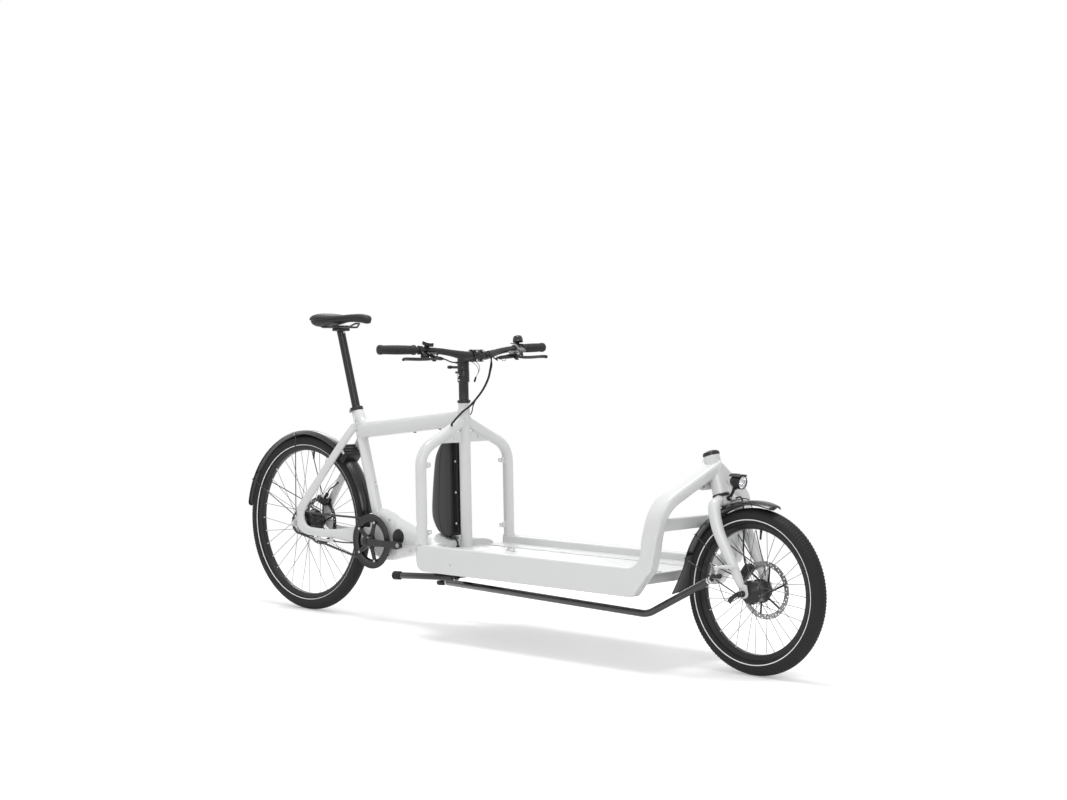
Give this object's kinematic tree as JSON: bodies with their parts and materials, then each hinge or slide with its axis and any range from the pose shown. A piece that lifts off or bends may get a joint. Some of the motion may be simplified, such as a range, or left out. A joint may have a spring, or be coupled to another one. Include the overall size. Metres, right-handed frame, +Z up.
{
  "type": "electric cargo bike",
  "caption": "Low cargo bike with a bed between the rider and a small front wheel, steered by a rod under the bed, with a mid motor and a battery behind the steering tube.",
  "frame": {"origin": "on the floor, under the middle of the bike's length and width", "axes": "+X forward along the bike's length, +Y to the rider's left, +Z up"},
  "size_m": [2.6989, 0.8044, 1.112],
  "materials": {
    "frame_paint": "satin pale grey paint",
    "black_paint": "satin black paint",
    "black_anodised": "black anodised, satin",
    "bare_steel": "brushed",
    "black_plastic": "matte",
    "gloss_black_plastic": "gloss",
    "grey_plastic": "matte dark grey",
    "tyre_rubber": "matte tread",
    "grip_rubber": "matte",
    "hose_rubber": "satin",
    "saddle_cover": "fine grain, matte"
  },
  "bodies": {
    "frame": {"seat_tube": "frame_paint", "top_tube": "frame_paint", "steering_head_tube": "frame_paint", "right_shoulder_tube": "frame_paint", "left_shoulder_tube": "frame_paint", "motor_housing": "frame_paint", "motor_cover": "black_plastic", "right_rear_stay": "frame_paint", "left_rear_stay": "frame_paint", "right_bed_rail": "frame_paint", "left_bed_rail": "frame_paint", "bed_floor": "frame_paint", "right_front_arch": "frame_paint", "left_front_arch": "frame_paint", "front_cross_bar": "frame_paint", "front_head_tube": "frame_paint", "battery": "grey_plastic", "battery_rail": "black_plastic", "battery_lead": "hose_rubber", "rear_fender": "gloss_black_plastic", "rear_caliper": "black_anodised", "rear_axle": "bare_steel", "seat_collar": "black_paint", "stand_bracket": "black_paint", "chain": "black_anodised", "handlebar_hoses": "hose_rubber"},
    "cockpit": {"steering_column": "black_paint", "steering_riser": "black_anodised", "stem": "black_anodised", "handlebar": "black_anodised", "right_grip": "grip_rubber", "left_grip": "grip_rubber", "right_brake_body": "black_anodised", "left_brake_body": "black_anodised", "display_pod": "black_plastic", "bell": "black_anodised"},
    "rod": {"steering_rod": "black_paint"},
    "fork_unit": {"fork": "frame_paint", "front_head_cap": "black_anodised", "headlight": "black_plastic", "front_fender": "gloss_black_plastic", "front_caliper": "black_anodised", "front_axle": "black_anodised"},
    "axle_lever_unit": {"axle_lever": "black_anodised"},
    "front_wheel_unit": {"front_tyre": "tyre_rubber", "front_wheel": "black_anodised", "front_rotor": "bare_steel"},
    "rear_wheel_unit": {"rear_tyre": "tyre_rubber", "rear_wheel": "black_anodised", "rear_rotor": "bare_steel"},
    "cranks": {"right_crank": "black_anodised", "chainring": "black_anodised", "left_crank": "black_anodised"},
    "right_lever": {"right_brake_lever": "black_anodised"},
    "left_lever": {"left_brake_lever": "black_anodised"},
    "shifter": {"shift_lever": "black_plastic"},
    "bell_striker": {"bell_lever": "black_anodised"},
    "seat": {"saddle": "saddle_cover", "seatpost": "black_anodised"},
    "stand": {"stand_legs": "black_paint"}
  },
  "joints": [
    {"name": "steering", "type": "hinge", "parent": "frame", "child": "cockpit", "pos_m": [-0.18237, 0, 0.9], "axis": [-0.0262, 0, 0.9997], "range_deg": [-35, 20], "deforming": ["handlebar_hoses"]},
    {"name": "rod_swing", "type": "hinge", "parent": "cockpit", "child": "rod", "pos_m": [-0.16367, -0.125, 0.186], "axis": [-0.0217, 0.0294, 0.9993], "range_deg": [-21, 36]},
    {"name": "fork_turn", "type": "hinge", "parent": "frame", "child": "fork_unit", "pos_m": [0.97101, 0, 0.5], "axis": [-0.304, 0, 0.9527], "range_deg": [-36, 21]},
    {"name": "axle_lever_turn", "type": "hinge", "parent": "fork_unit", "child": "axle_lever_unit", "pos_m": [1.09325, -0.08475, 0.2575], "axis": [0, 0, 1], "range_deg": [0, 150]},
    {"name": "front_wheel_spin", "type": "hinge", "parent": "fork_unit", "child": "front_wheel_unit", "pos_m": [1.09325, 0, 0.2575], "axis": [0, 1, 0], "continuous": true},
    {"name": "rear_wheel_spin", "type": "hinge", "parent": "frame", "child": "rear_wheel_unit", "pos_m": [-1.00675, 0, 0.3295], "axis": [0, 1, 0], "continuous": true},
    {"name": "crank_spin", "type": "hinge", "parent": "frame", "child": "cranks", "pos_m": [-0.59975, 0, 0.29], "axis": [0, 1, 0], "continuous": true},
    {"name": "right_brake_pull", "type": "hinge", "parent": "cockpit", "child": "right_lever", "pos_m": [-0.11172, -0.206, 0.96015], "axis": [0.5446, 0, 0.8387], "range_deg": [-12, 0], "stiffness_Nm_per_rad": 0.8},
    {"name": "left_brake_pull", "type": "hinge", "parent": "cockpit", "child": "left_lever", "pos_m": [-0.1099, 0.194, 0.95973], "axis": [0.5446, 0, 0.8387], "range_deg": [0, 12], "stiffness_Nm_per_rad": 0.8},
    {"name": "shift_push", "type": "hinge", "parent": "cockpit", "child": "shifter", "pos_m": [-0.15604, -0.21, 0.95718], "axis": [0, 0, 1], "range_deg": [-20, 0], "stiffness_Nm_per_rad": 0.1},
    {"name": "bell_flick", "type": "hinge", "parent": "cockpit", "child": "bell_striker", "pos_m": [-0.16638, 0.24695, 1.00394], "axis": [-0.1797, 0.0999, 0.9786], "range_deg": [-25, 0], "stiffness_Nm_per_rad": 0.02},
    {"name": "seat_height", "type": "slide", "parent": "frame", "child": "seat", "axis": [-0.289, 0, 0.9573], "range_m": [-0.2, 0.03]},
    {"name": "stand_fold", "type": "hinge", "parent": "frame", "child": "stand", "pos_m": [-0.07675, 0, 0.216], "axis": [0, 1, 0], "range_deg": [-100, 0]}
  ],
  "couplings": [
    {"joint": "rod_swing", "follows": "steering", "ratio": -1},
    {"joint": "fork_turn", "follows": "steering", "ratio": 1.0082}
  ]
}
